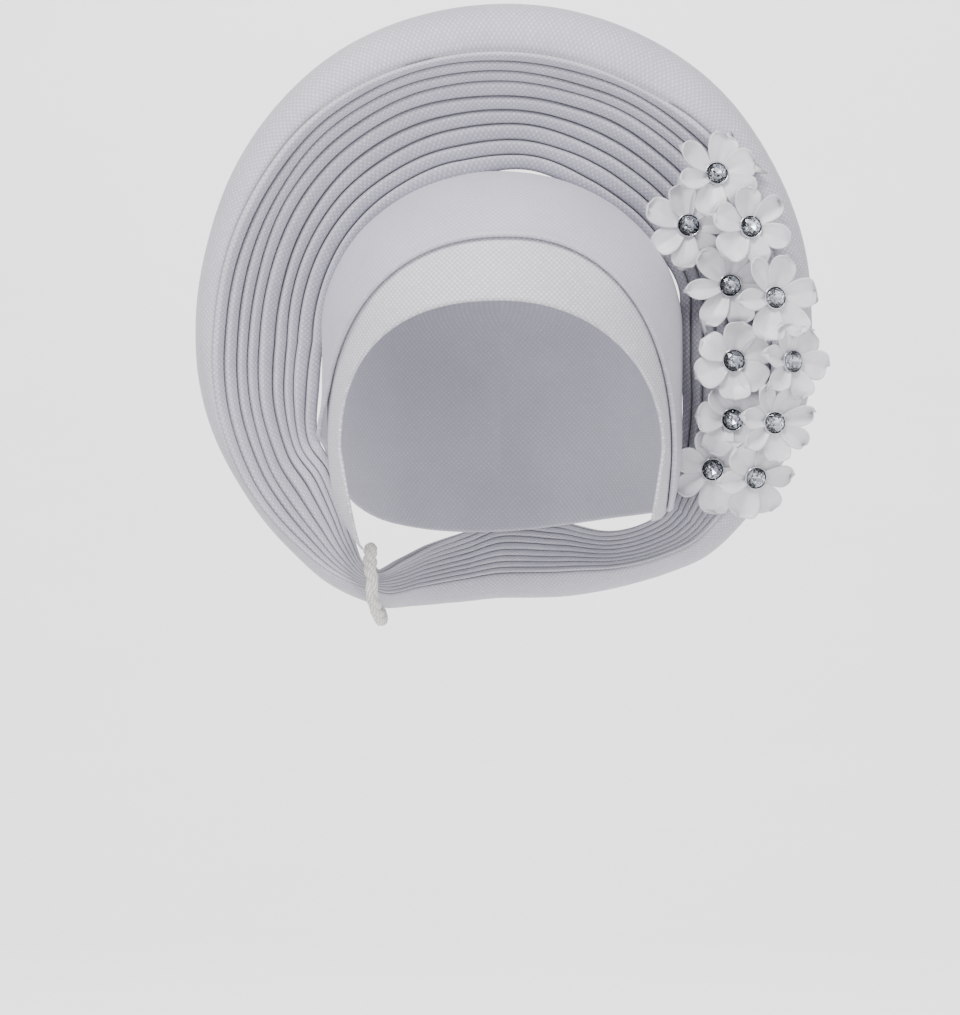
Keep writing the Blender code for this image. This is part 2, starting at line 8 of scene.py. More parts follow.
# %% Load the frame
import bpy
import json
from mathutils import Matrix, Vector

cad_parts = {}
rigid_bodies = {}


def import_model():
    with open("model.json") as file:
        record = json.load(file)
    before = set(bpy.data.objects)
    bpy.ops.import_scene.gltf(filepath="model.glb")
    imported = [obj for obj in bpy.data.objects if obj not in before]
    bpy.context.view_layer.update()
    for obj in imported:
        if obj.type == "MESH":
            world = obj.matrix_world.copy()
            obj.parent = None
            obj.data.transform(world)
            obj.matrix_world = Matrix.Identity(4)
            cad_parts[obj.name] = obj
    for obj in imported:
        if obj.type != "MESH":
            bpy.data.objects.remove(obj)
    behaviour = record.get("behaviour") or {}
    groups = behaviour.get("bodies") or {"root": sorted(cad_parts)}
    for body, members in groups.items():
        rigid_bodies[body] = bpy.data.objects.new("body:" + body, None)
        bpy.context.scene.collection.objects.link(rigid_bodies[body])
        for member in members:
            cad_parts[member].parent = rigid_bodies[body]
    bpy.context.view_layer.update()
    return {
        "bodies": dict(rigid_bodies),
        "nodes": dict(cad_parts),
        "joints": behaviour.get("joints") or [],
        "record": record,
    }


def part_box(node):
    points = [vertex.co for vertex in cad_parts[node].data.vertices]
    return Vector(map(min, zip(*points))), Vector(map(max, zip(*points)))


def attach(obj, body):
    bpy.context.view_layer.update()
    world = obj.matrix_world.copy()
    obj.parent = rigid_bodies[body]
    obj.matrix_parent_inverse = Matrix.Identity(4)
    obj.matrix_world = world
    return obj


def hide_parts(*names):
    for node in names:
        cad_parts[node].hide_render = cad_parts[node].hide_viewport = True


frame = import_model()

import json
import math
import random

import bmesh
import bpy
from mathutils import Vector, noise
from mathutils.bvhtree import BVHTree

MM = 0.001

# %% [markdown]
# ## Helpers for pieces
# Every piece is a bmesh that becomes an object at the origin, rides on the one body, takes the
# finish it is given and stands for one or more of the solids.

# %% Pieces
def add_piece(name, form, finish, solids=(), smooth=True):
    """An object from a bmesh, riding on the one body and standing for some solids."""
    mesh = bpy.data.meshes.new(name)
    for face in form.faces:
        face.smooth = smooth
    form.to_mesh(mesh)
    form.free()
    mesh.materials.append(finish)
    piece = bpy.data.objects.new(name, mesh)
    bpy.context.scene.collection.objects.link(piece)
    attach(piece, "root")
    if solids:
        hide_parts(*solids)
    return piece


def lay_cloth(rows, flat, depths=None):
    """A flat grid of cloth laid on rows of points.

    A row or a column that comes back to its start is closed, and one that is drawn together to a
    point becomes that point. flat gives the place on the flat cloth, in metres, of a corner's row
    and column, for a face whose lowest column is the third value. depths gives each column's
    depth in a fold, from 0 to 1, which the cloth's finish reads as an attribute and paints as
    shade, darker deeper in the fold.
    """
    across, around = len(rows[0]) - 1, len(rows) - 1
    form = bmesh.new()
    bmesh.ops.create_grid(form, x_segments=across, y_segments=around, size=0.5)
    fold = form.verts.layers.float.new("painted_fold_shade")
    places = {}
    for corner in form.verts:
        i = round((corner.co.x + 0.5) * across)
        j = round((corner.co.y + 0.5) * around)
        places[corner] = (j, i)
        corner.co = rows[j][i]
        corner[fold] = depths[i] if depths else 0.0
    uv = form.loops.layers.uv.new("cloth")
    for face in form.faces:
        low = min(places[loop.vert][1] for loop in face.loops)
        for loop in face.loops:
            loop[uv].uv = flat(*places[loop.vert], low)
    bmesh.ops.remove_doubles(form, verts=form.verts, dist=1e-7)
    loose = [edge for edge in form.edges if not edge.link_faces]
    bmesh.ops.delete(form, geom=loose, context="EDGES")
    bmesh.ops.recalc_face_normals(form, faces=form.faces)
    return form


def cloth_area(piece):
    """Half the surface of a closed wall, which is the cloth's own area, in square metres."""
    shown = piece.evaluated_get(bpy.context.evaluated_depsgraph_get())
    return sum(face.area for face in shown.data.polygons) / 2


def smooth_step(value):
    value = max(0.0, min(1.0, value))
    return value * value * (3 - 2 * value)


def read_table(rows, columns, angle):
    """The values of a table's columns at an angle in degrees, read smoothly all round."""
    count = len(rows)
    angle = angle % 360
    k = max(i for i in range(count) if rows[i][0] <= angle)
    picks = [rows[(k + i - 1) % count] for i in range(4)]
    places = [picks[i][0] + 360 * ((k + i - 1) // count) for i in range(4)]
    span = places[2] - places[1]
    at = (angle - places[1]) / span
    values = {}
    for column, name in enumerate(columns[1:], 1):
        a, b, c, d = (row[column] for row in picks)
        leave = span * (c - a) / (places[2] - places[0])
        arrive = span * (d - b) / (places[3] - places[1])
        values[name] = (
            (2 * at**3 - 3 * at**2 + 1) * b
            + (at**3 - 2 * at**2 + at) * leave
            + (3 * at**2 - 2 * at**3) * c
            + (at**3 - at**2) * arrive
        )
    return values


# %% [markdown]
# ## Helpers for finishes
# Colours are written as sRGB hex values, as a colour picker gives them, and one function turns
# them to linear. One more function adds a node with its settings and links.

# %% Colours and nodes
def linear(code, alpha=1.0):
    """An sRGB hex colour as linear red, green, blue and alpha."""
    parts = [int(code[k:k + 2], 16) / 255 for k in (1, 3, 5)]
    return (*[p / 12.92 if p <= 0.04045 else ((p + 0.055) / 1.055) ** 2.4 for p in parts], alpha)


def add_node(tree, kind, links=None, values=None, **settings):
    """A node with its settings, its sockets' values and what they are linked to."""
    made = tree.nodes.new(kind)
    for name, value in settings.items():
        setattr(made, name, value)
    for socket, value in (values or {}).items():
        made.inputs[socket].default_value = value
    for socket, source in (links or {}).items():
        tree.links.new(source, made.inputs[socket])
    return made


def new_finish(name):
    """An empty material, its node tree and its shader."""
    finish = bpy.data.materials.new(name)
    finish.use_nodes = True
    tree = finish.node_tree
    return finish, tree, tree.nodes["Principled BSDF"]


# %% [markdown]
# ## The shimmering cloth
# The real cloth is a stiff jacquard of polyester and a silver lurex thread, woven in a lattice of
# small raised floats about 1.7 mm apart. The floats catch the light, and the ground between them
# is a little darker and greyer. The pattern follows the cloth, so it reads the piece's own UV
# map, which is laid out in metres of cloth: the product of two sine waves is a diagonal lattice.

# %% Cloth finish
LATTICE = 2.4 * MM  # the weave's repeat along warp and weft, 1.7 mm on the diagonal
THREAD = 0.5 * MM  # finer ribs between the floats, drawn as coarse as they need to show


def woven_finish(name, ground, float_colour, contrast, relief, roughness):
    """Jacquard cloth: a lattice of bright floats on a matt ground, uneven as hand-laid cloth is, with
    painted shade darkening the colour deep in the folds.
    """
    finish, tree, shader = new_finish(name)
    uv = add_node(tree, "ShaderNodeUVMap", uv_map="cloth")
    axes = add_node(tree, "ShaderNodeSeparateXYZ", {"Vector": uv.outputs["UV"]})
    waves = []
    for axis in ("X", "Y"):
        turn = add_node(tree, "ShaderNodeMath", {0: axes.outputs[axis]}, {1: math.tau / LATTICE},
                        operation="MULTIPLY")
        waves.append(add_node(tree, "ShaderNodeMath", {0: turn.outputs[0]}, operation="SINE"))
    lattice = add_node(tree, "ShaderNodeMath", {0: waves[0].outputs[0], 1: waves[1].outputs[0]},
                       operation="MULTIPLY")
    floats = add_node(tree, "ShaderNodeMapRange", {"Value": lattice.outputs[0]},
                      {"From Min": -0.2, "From Max": 0.9}, interpolation_type="SMOOTHSTEP")
    uneven = add_node(tree, "ShaderNodeTexNoise", {"Vector": uv.outputs["UV"]},
                      {"Scale": 1 / (3.1 * MM), "Detail": 3.0, "Roughness": 0.6})
    glint = add_node(tree, "ShaderNodeMapRange", {"Value": uneven.outputs["Fac"]},
                     {"From Min": 0.32, "From Max": 0.68, "To Min": 0.25, "To Max": 1.0})
    bright = add_node(tree, "ShaderNodeMath", {0: floats.outputs[0], 1: glint.outputs[0]},
                      operation="MULTIPLY")
    amount = add_node(tree, "ShaderNodeMath", {0: bright.outputs[0]}, {1: contrast},
                      operation="MULTIPLY")
    cloud = add_node(tree, "ShaderNodeTexNoise", {"Vector": uv.outputs["UV"]},
                     {"Scale": 1 / (38 * MM), "Detail": 2.0})
    shade = add_node(tree, "ShaderNodeMapRange", {"Value": cloud.outputs["Fac"]},
                     {"From Min": 0.3, "From Max": 0.7, "To Min": 0.94, "To Max": 1.04})
    mixed = add_node(tree, "ShaderNodeMix", {"Factor": amount.outputs[0]},
                     {"A": linear(ground), "B": linear(float_colour)}, data_type="RGBA")
    # Painted shade: the colour is darkened by up to 62 % where the mesh attribute says the cloth lies
    # deep in a fold.
    fold = add_node(tree, "ShaderNodeAttribute", attribute_name="painted_fold_shade")
    painted_fold_dim = add_node(tree, "ShaderNodeMath", {0: fold.outputs["Fac"]}, {1: -0.62, 2: 1.0},
                   operation="MULTIPLY_ADD")
    tone = add_node(tree, "ShaderNodeMath", {0: shade.outputs[0], 1: painted_fold_dim.outputs[0]},
                    operation="MULTIPLY")
    toned = add_node(tree, "ShaderNodeVectorMath", {0: mixed.outputs["Result"],
                                                    "Scale": tone.outputs[0]}, operation="SCALE")
    tree.links.new(toned.outputs[0], shader.inputs["Base Color"])
    rough = add_node(tree, "ShaderNodeMapRange", {"Value": bright.outputs[0]},
                     {"To Min": roughness + 0.12, "To Max": roughness - 0.12})
    tree.links.new(rough.outputs[0], shader.inputs["Roughness"])
    ribs = add_node(tree, "ShaderNodeTexWave", {"Vector": uv.outputs["UV"]},
                    {"Scale": 1 / (math.tau * THREAD), "Distortion": 1.2, "Detail": 1.0},
                    bands_direction="DIAGONAL")
    height = add_node(tree, "ShaderNodeMath", {0: ribs.outputs["Fac"], 2: bright.outputs[0]},
                      {1: 0.2}, operation="MULTIPLY_ADD")
    bump = add_node(tree, "ShaderNodeBump", {"Height": height.outputs[0]},
                    {"Strength": 0.55, "Distance": relief})
    tree.links.new(bump.outputs[0], shader.inputs["Normal"])
    shader.inputs["Specular IOR Level"].default_value = 0.35
    shader.inputs["Sheen Weight"].default_value = 0.18
    shader.inputs["Sheen Roughness"].default_value = 0.45
    return finish


pleat_cloth = woven_finish("jacquard_cloth_pleated", "#b6b5c0", "#eeedf0", 0.75, 0.2 * MM, 0.5)
cap_cloth = woven_finish("jacquard_cloth_smooth", "#bfbec9", "#e9e9ef", 0.6, 0.18 * MM, 0.5)
band_cloth = woven_finish("jacquard_cloth_band", "#c3c2ca", "#fbfbfd", 0.95, 0.28 * MM, 0.46)
print("cloth finishes:", pleat_cloth.name, cap_cloth.name, band_cloth.name)

# %% [markdown]
# ## The form of the fan
# The fan is one long strip of cloth, folded lengthwise into nine pleats and bent round the head,
# with a wide soft roll at its outer edge. Its form is a section that changes slowly round an axis
# along Y. The table has a row for each section, in degrees and millimetres, and a second table
# says where the edges of the nine pleats lie, as shares of the way from the inner edge to the
# roll.

# %% Sections of the fan
FAN_CENTRE = (1.35 * MM, -64.8 * MM)
FAN_COLUMNS = ("angle", "inner", "fold", "rim", "inner_y", "crest_y", "roll", "stand")
FAN_SECTIONS = (
    (0, 77.0, 122.2, 137.2, 12, -18, 18, 0.0),
    (12, 75.0, 122.2, 137.8, 12, -19, 18, 2.5),
    (30, 73.0, 122.8, 138.6, 11, -21, 19, 0.0),
    (45, 69.0, 121.1, 140.6, 10, -22, 20, 0.0),
    (60, 66.0, 118.1, 141.2, 10, -22, 20, 0.0),
    (82, 65.0, 117.6, 141.3, 10, -22, 20, 3.0),
    (105, 66.0, 119.0, 141.3, 10, -22, 20, 0.0),
    (120, 69.0, 121.1, 141.5, 10, -22, 20, 0.0),
    (135, 72.0, 123.5, 140.3, 10, -21, 20, 0.0),
    (150, 75.0, 124.5, 138.9, 10, -20, 19, 0.0),
    (165, 78.0, 126.5, 137.5, 11, -18, 18, 0.0),
    (180, 80.5, 128.9, 138.5, 12, -16, 18, 0.0),
    (190, 84.2, 132.0, 139.7, 12, -15, 18, 0.0),
    (200, 89.6, 134.8, 140.2, 12, -14, 18, 0.0),
    (212, 99.5, 137.0, 140.0, 13, -12, 17, 0.0),
    (220, 101.5, 137.4, 140.5, 14, -10, 16, 0.0),
    (228, 109.0, 137.2, 140.9, 15, -8, 14, 0.0),
    (235, 119.5, 137.4, 142.0, 16, -5, 12, 0.0),
    (240, 127.0, 136.3, 141.5, 17, -1, 9.5, 0.0),
    (243.5, 127.5, 135.0, 140.8, 24, 6, 8.5, 0.0),
    (247, 118.0, 134.0, 140.8, 44, 30, 9, 0.0),
    (252, 107.0, 127.0, 136.0, 61, 52, 8, 0.0),
    (260, 97.0, 119.5, 130.0, 72, 66, 8, 0.0),
    (270, 88.0, 114.5, 126.0, 73.5, 68, 8, 0.0),
    (285, 94.0, 117.5, 129.0, 69, 56, 10, 0.0),
    (296, 106.5, 124.0, 132.5, 53, 36, 12, 0.0),
    (304, 111.5, 128.5, 136.5, 41, 23, 13, 0.0),
    (311, 112.0, 131.4, 140.1, 32, 9, 15, 0.0),
    (320, 103.0, 130.4, 140.3, 24, -3, 16, 0.0),
    (330, 93.0, 129.1, 140.0, 18, -9, 16, 0.0),
    (345, 82.5, 124.9, 140.1, 13, -15, 17, 0.0),
)
FOLD_COLUMNS = ("angle", "f1", "f2", "f3", "f4", "f5", "f6", "f7", "f8")
FOLD_EDGES = (
    (0, 0.105, 0.235, 0.36, 0.48, 0.61, 0.73, 0.815, 0.905),
    (45, 0.102, 0.236, 0.361, 0.485, 0.61, 0.729, 0.814, 0.906),
    (60, 0.121, 0.262, 0.391, 0.511, 0.648, 0.767, 0.845, 0.933),
    (75, 0.125, 0.25, 0.386, 0.507, 0.628, 0.75, 0.825, 0.92),
    (90, 0.129, 0.259, 0.399, 0.515, 0.633, 0.758, 0.843, 0.92),
    (110, 0.151, 0.27, 0.412, 0.531, 0.66, 0.771, 0.857, 0.933),
    (130, 0.122, 0.251, 0.382, 0.511, 0.638, 0.746, 0.842, 0.915),
    (150, 0.103, 0.241, 0.363, 0.475, 0.615, 0.724, 0.81, 0.898),
    (170, 0.086, 0.22, 0.333, 0.436, 0.579, 0.68, 0.783, 0.89),
    (190, 0.11, 0.244, 0.338, 0.445, 0.587, 0.687, 0.78, 0.893),
    (200, 0.125, 0.26, 0.353, 0.455, 0.59, 0.685, 0.782, 0.893),
    (210, 0.13, 0.24, 0.32, 0.415, 0.55, 0.67, 0.77, 0.895),
    (220, 0.09, 0.2, 0.28, 0.4, 0.55, 0.69, 0.785, 0.91),
    (240, 0.1, 0.22, 0.33, 0.44, 0.57, 0.69, 0.79, 0.9),
    (300, 0.105, 0.235, 0.36, 0.48, 0.6, 0.71, 0.81, 0.905),
)
DISH_POWER = 1.8
RIM_ROUNDING = 0.68
RIM_LEAST = 3.4 * MM
ROLL_END = -65.0

HEAD_HALF_WIDTH = 79.2 * MM
HEAD_HALF_LENGTH = 95.2 * MM
CROWN_HEIGHT = 69.0 * MM
CAP_WALL = 1.8 * MM
GAP = 0.3 * MM
EDGE_COLUMNS = ("turn", "cap", "band")
LOWER_EDGES = (
    (0, -140.0, -143.0),
    (60, -152.0, -155.0),
    (90, -150.0, -154.0),
    (130, -153.0, -158.0),
    (180, -160.0, -163.0),
    (215, -158.0, -165.0),
    (240, -148.0, -167.0),
    (262, -120.0, -168.0),
    (300, -122.0, -168.0),
)


def lower_edge(piece, turn):
    """The height at which cap or band ends, round from the face in radians."""
    return read_table(LOWER_EDGES, EDGE_COLUMNS, math.degrees(turn))[piece] * MM


def cap_radius(sizes):
    """Where the ray of a section leaves the cap in the plane of the fan's inner edge."""
    outward = CAP_WALL + GAP + max(0.0, sizes["stand"])
    near, far = 30 * MM, 130 * MM
    for _ in range(24):
        middle = (near + far) / 2
        x = FAN_CENTRE[0] + middle * math.cos(sizes["angle"])
        z = FAN_CENTRE[1] + middle * math.sin(sizes["angle"])
        if z < lower_edge("cap", math.atan2(x, -sizes["inner_y"])):
            return 0.0
        rise = max(0.0, z + CROWN_HEIGHT) / (CROWN_HEIGHT + outward)
        across = x / (HEAD_HALF_WIDTH + outward)
        along = sizes["inner_y"] / (HEAD_HALF_LENGTH + outward)
        if rise**2 + across**2 + along**2 < 1:
            near = middle
        else:
            far = middle
    return far


sections = {}


def section(angle):
    """The sizes of the fan's section at an angle in degrees, in metres."""
    key = round(angle % 360, 3)
    if key not in sections:
        sizes = read_table(FAN_SECTIONS, FAN_COLUMNS, key)
        sizes = {name: value * MM for name, value in sizes.items()}
        sizes["angle"] = math.radians(key)
        sizes["inner"] = max(sizes["inner"], cap_radius(sizes))
        sections[key] = sizes
    return sections[key]


def place(sizes, radius, y):
    x = FAN_CENTRE[0] + radius * math.cos(sizes["angle"])
    z = FAN_CENTRE[1] + radius * math.sin(sizes["angle"])
    return Vector((x, y, z))


def rim_curve(sizes):
    """The roll of the rim: its radius, its centre and the angle at which it meets the folds."""
    radius = RIM_ROUNDING * (sizes["rim"] - sizes["fold"]) + RIM_LEAST
    centre = sizes["rim"] - radius
    start = math.acos(max(-1.0, min(1.0, (sizes["fold"] - centre) / radius)))
    return radius, centre, start


def rim_place(sizes, step):
    radius, centre, start = rim_curve(sizes)
    turn = start + (math.radians(ROLL_END) - start) * step
    y = sizes["crest_y"] + sizes["roll"] * (1 - math.sin(turn))
    return place(sizes, centre + radius * math.cos(turn), y)


def dish_place(sizes, share):
    start = rim_curve(sizes)[2]
    fold_y = sizes["crest_y"] + sizes["roll"] * (1 - math.sin(start))
    y = sizes["inner_y"] + (fold_y - sizes["inner_y"]) * max(0.0, share) ** DISH_POWER
    return place(sizes, sizes["inner"] + (sizes["fold"] - sizes["inner"]) * share, y)


def surface(angle, kind, at, height):
    """A point of the fan's middle surface, raised towards the viewer by a height."""
    pick = rim_place if kind == "rim" else dish_place
    small = 0.01
    low, high = max(0.0, at - small), min(1.0, at + small)
    here = section(angle)
    outward = pick(here, high) - pick(here, low)
    around = pick(section(angle + 0.5), at) - pick(section(angle - 0.5), at)
    return pick(here, at) + outward.cross(around).normalized() * height


print("fan: rim radius at the top", round(section(90)["rim"] / MM, 1), "mm")

# %% [markdown]
# ## The pleats and the rolled rim
# A pleat of stiff cloth is not a wave: it rises from under its neighbour, swells to a rounded
# lip at its outer edge and turns down steeply behind it, and that step is the dark line between
# two pleats, shaded by the step itself and deepened by painted shade in the finish. The profile
# below is one pleat, as shares of its width and height. The mesh is a flat grid, as the cloth
# once was: a row across the cloth becomes one closed section with the pleats, the roll and the
# plain back, and the rows follow each other round the head.

# %% Mesh of the fan
PLEAT_COLUMNS = ("along", "height")
PLEAT_PROFILE = (
    (0.0, -1.0), (0.05, -0.86), (0.1, -0.5), (0.16, -0.14), (0.24, 0.16), (0.35, 0.42),
    (0.48, 0.66), (0.62, 0.84), (0.76, 0.96), (0.87, 1.0), (0.95, 0.92), (1.0, 0.7),
    (1.025, 0.35), (1.03, -0.05), (1.015, -0.55),
)
PLEAT_LIP = 1.9 * MM
PLEAT_DEPTH = 2.0 * MM
DEPTH_SHARE = 1.1  # nor is the fold deeper than this share of the lip
LIP_SHARE = 0.34  # the lip is never higher than this share of the pleat's width
FAN_WALL = 3.0 * MM  # the folded layers together
RIM_STEPS = 30
BACK_RIM_STEPS = (1.0, 0.85, 0.7, 0.55, 0.42, 0.3)
BACK_DISH_STEPS = (0.93, 0.82, 0.68, 0.54, 0.4, 0.28, 0.16, 0.07, 0.0)
SEAM_ANGLE = 262.0  # behind the head
WIDE_STEP = 1.0
FINE_STEP = 0.5
FINE_FROM, FINE_TO = 196.0, 262.0


def fold_edges(angle):
    edges = read_table(FOLD_EDGES, FOLD_COLUMNS, angle)
    return [0.0, *edges.values(), 1.0]


def hand_laid(angle, number):
    """A small unevenness of a pleat's edge and height round the fan, from -1 to 1."""
    turn = math.radians(angle)
    return noise.noise(Vector((3.2 * math.cos(turn), 3.2 * math.sin(turn), 1.7 * number)))


def fan_section(angle):
    """One closed section: points, the strip of cloth each is on and its depth in a fold, which the
    finish paints as shade.
    """
    sizes = section(angle)
    edges = fold_edges(angle)
    width = sizes["fold"] - sizes["inner"]
    points, strips, depths = [], [], []
    for k in range(9):
        start, end = edges[k], edges[k + 1]
        if 0 < k:
            start += 0.006 * hand_laid(angle, k)
        if k < 8:
            end += 0.006 * hand_laid(angle, k + 1)
        lip = min(PLEAT_LIP, LIP_SHARE * (end - start) * width)
        lip *= 1 + 0.2 * hand_laid(angle, k + 20)
        depth = min(PLEAT_DEPTH, DEPTH_SHARE * lip)
        for along, height in PLEAT_PROFILE:
            share = start + (end - start) * along
            points.append(surface(angle, "dish", share, height * (lip if height > 0 else depth)))
            strips.append(k)
            # Depth in the fold, from 0 to 1, which the finish paints as shade.
            depths.append(max(0.0, -height))
    for step in range(RIM_STEPS + 1):
        at = step / RIM_STEPS
        rise = smooth_step(at / 0.05)
        swell = 0.9 * MM * math.sin(math.pi * min(1.0, 0.1 + at)) * rise
        swell += 0.5 * MM * rise * hand_laid(angle, 31 + 1.5 * at) * (1 - at)
        points.append(surface(angle, "rim", at, swell - 0.6 * depth * (1 - rise)))
        strips.append(9)
        # Painted shade in the groove where the roll leaves the last pleat, fading as the roll rises.
        depths.append(0.8 * (1 - rise))
    for at in BACK_RIM_STEPS:
        points.append(surface(angle, "rim", at, -FAN_WALL))
        strips.append(10)
    for share in BACK_DISH_STEPS:
        points.append(surface(angle, "dish", share, -FAN_WALL))
        strips.append(10)
    depths += [0.0] * (len(points) - len(depths))
    return points, strips, depths


def fan_angles():
    angles = []
    spans = ((FINE_TO - 360, FINE_FROM, WIDE_STEP), (FINE_FROM, FINE_TO, FINE_STEP))
    for start, end, step in spans:
        count = round((end - start) / step)
        angles += [start + (end - start) * k / count for k in range(count)]
    return angles


def fan_cloth(rows, strips):
    """The place on the flat cloth: along the section, and along the strip the corner is on."""
    across, around = len(rows[0]) - 1, len(rows) - 1
    picks = range(0, around, 12)
    width = [0.0]
    for i in range(across):
        steps = [(rows[j][i + 1] - rows[j][i]).length for j in picks]
        width.append(width[-1] + sum(steps) / len(steps))
    length = {}
    for strip in set(strips):
        columns = [i for i, other in enumerate(strips) if other == strip]
        middle = columns[len(columns) // 2]
        length[strip] = [0.0]
        for row, after in zip(rows, rows[1:]):
            length[strip].append(length[strip][-1] + (after[middle] - row[middle]).length)
    return lambda j, i, low: (width[i], length[strips[low]][j]), width, length


fan_rows = []
for angle in fan_angles() + [SEAM_ANGLE]:
    points, fan_strips, fan_fold_shades = fan_section(angle)
    fan_rows.append(points + points[:1])
fan_flat, fan_width, fan_length = fan_cloth(fan_rows, fan_strips)
fan_form = lay_cloth(fan_rows, fan_flat, fan_fold_shades + fan_fold_shades[:1])
fan_faces = BVHTree.FromBMesh(fan_form)
fan = add_piece("pleated_fan_cloth", fan_form, pleat_cloth, ["pleated_fan"])
cloth_area(fan)
print("fan:", len(fan.data.polygons), "faces,", round(cloth_area(fan), 4), "m2 of cloth")

# %% [markdown]
# ## The crown cap and the forehead band
# Both are cloth stretched over a head, so both are drawn on one head form: a half ellipsoid with
# cheeks and a nape that draw in below it. A place on it is a turn round the head and a tilt down
# from the top. The edges come from two arches seen from the front, the face opening and the
# cap's hem, and are turned into places on the head form.

# %% Head form and edges
NAPE_DRAW = 0.17
NAPE_DROP = 67.0 * MM
CHEEK_DRAW = 0.16
CHEEK_START = 30.0 * MM
CHEEK_DROP = 95.0 * MM
CHEEK_POWER = 4
ARCH_COLUMNS = ("centre_x", "top", "spring", "left", "right", "left_power", "right_power",
                "foot_left", "foot_right")
FACE_ARCH = (-1.0, -60.9, -124.0, 71.3, 72.2, 2.4, 2.05, -61.0, 62.0)
HEM_ARCH = (2.0, -33.8, -128.0, 80.5, 72.6, 2.3, 2.2, -80.0, 70.0)
ARCH_FOOT = -185.0 * MM
BAND_UNDERLAP = 13.0 * MM
BAND_WALL = 1.4 * MM
BACK_TURN = math.radians(82.6)  # how far round the band runs under the cap


def cheek_width(drop):
    lower = max(0.0, drop - CHEEK_START) / (CHEEK_DROP - CHEEK_START)
    return 1 - CHEEK_DRAW * lower**CHEEK_POWER


def head_point(turn, tilt, outward):
    """A place on the head form: past a quarter turn the tilt goes straight down."""
    share = math.sin(min(tilt, math.pi / 2))
    x = (HEAD_HALF_WIDTH + outward) * share * math.sin(turn)
    y = -(HEAD_HALF_LENGTH + outward) * share * math.cos(turn)
    if tilt < math.pi / 2:
        return Vector((x, y, (CROWN_HEIGHT + outward) * math.cos(tilt) - CROWN_HEIGHT))
    drop = (tilt - math.pi / 2) * CROWN_HEIGHT
    if y > 0:
        y *= 1 - NAPE_DRAW * (drop / NAPE_DROP) ** 2
    return Vector((x * cheek_width(drop), y, -CROWN_HEIGHT - drop))


def head_place(x, z):
    """The turn and the tilt of a place that is seen from the front at x and z."""
    if z > -CROWN_HEIGHT:
        tilt = math.acos((z + CROWN_HEIGHT) / CROWN_HEIGHT)
        half = HEAD_HALF_WIDTH * math.sin(tilt)
    else:
        tilt = math.pi / 2 - 1 - z / CROWN_HEIGHT
        half = HEAD_HALF_WIDTH * cheek_width(-CROWN_HEIGHT - z)
    turn = math.asin(max(-1.0, min(1.0, x / half)))
    return max(-BACK_TURN, min(BACK_TURN, turn)), tilt


def arch_outline(arch, grow):
    """An arch seen from the front, from its left foot over the top to its right foot."""
    size = dict(zip(ARCH_COLUMNS, arch))
    spring = size["spring"] * MM
    rise = size["top"] * MM - spring + grow
    outline = [Vector((size["foot_left"] * MM - grow, ARCH_FOOT))]
    for angle in range(0, 181, 2):
        side, half, power = (-1, "left", "left_power") if angle < 90 else (1, "right", "right_power")
        across = abs(math.cos(math.radians(angle))) ** (2 / size[power])
        up = max(0.0, math.sin(math.radians(angle))) ** (2 / size[power])
        x = size["centre_x"] * MM + side * (size[half] * MM + grow) * across
        outline.append(Vector((x, spring + rise * up)))
    return outline + [Vector((size["foot_right"] * MM + grow, ARCH_FOOT))]


def even_line(points, count):
    """The same line through evenly spaced points."""
    run = [0.0]
    for point, after in zip(points, points[1:]):
        run.append(run[-1] + (after - point).length)
    line = []
    k = 0
    for step in range(count + 1):
        at = run[-1] * step / count
        while k < len(points) - 2 and run[k + 1] < at:
            k += 1
        share = (at - run[k]) / max(run[k + 1] - run[k], 1e-9)
        line.append(points[k].lerp(points[k + 1], share))
    return line


def arch_on_head(arch, grow, piece, count):
    """An arch as evenly spaced turns and tilts, down to the lower edge of the piece."""
    fine = even_line(arch_outline(arch, grow), 1200)
    line = []
    for x, z in fine:
        turn, tilt = head_place(x, z)
        if z > lower_edge(piece, turn):
            line.append(Vector((turn, tilt)))
    return even_line(line, count)


print("hem arch:", [round(v, 2) for v in arch_on_head(HEM_ARCH, 0.0, "cap", 2)[1]])

# %% [markdown]
# A row of the cap or the band goes along the outer face to the free edge, round it and back on
# the inner face. An edge of such cloth is folded over and pressed: it is a little thicker than
# the rest, rounded, and the cap's hem stands off the band by less than a millimetre, which
# draws the dark line over the forehead.

# %% Cap and band
EDGE_POWER = 1.6  # rows lie closer together towards the free edge


def wall_section(reach, steps, wall, base, stand, swell):
    """A closed line round a wall of cloth, as distances from its free edge and heights."""
    outer, inner = [], []
    for k in range(steps, -1, -1):
        back = reach * (k / steps) ** EDGE_POWER
        lift = stand * math.exp(-((back / (5 * MM)) ** 2))
        fold = swell * math.exp(-(((back - 1.7 * MM) / (1.9 * MM)) ** 4))
        round_off = 0.3 * wall if k == 0 else 0.0
        outer.append((back, base + wall + lift + fold - round_off))
        inner.append((back, base + lift + round_off))
    line = outer + [(-0.25 * MM, base + wall / 2 + stand)] + inner[::-1]
    return line + line[:1]


def head_cloth(turn, tilt):
    """The place on the flat cloth of a place on the head form."""
    return HEAD_HALF_WIDTH * turn * math.sin(min(tilt, math.pi / 2)), CROWN_HEIGHT * tilt


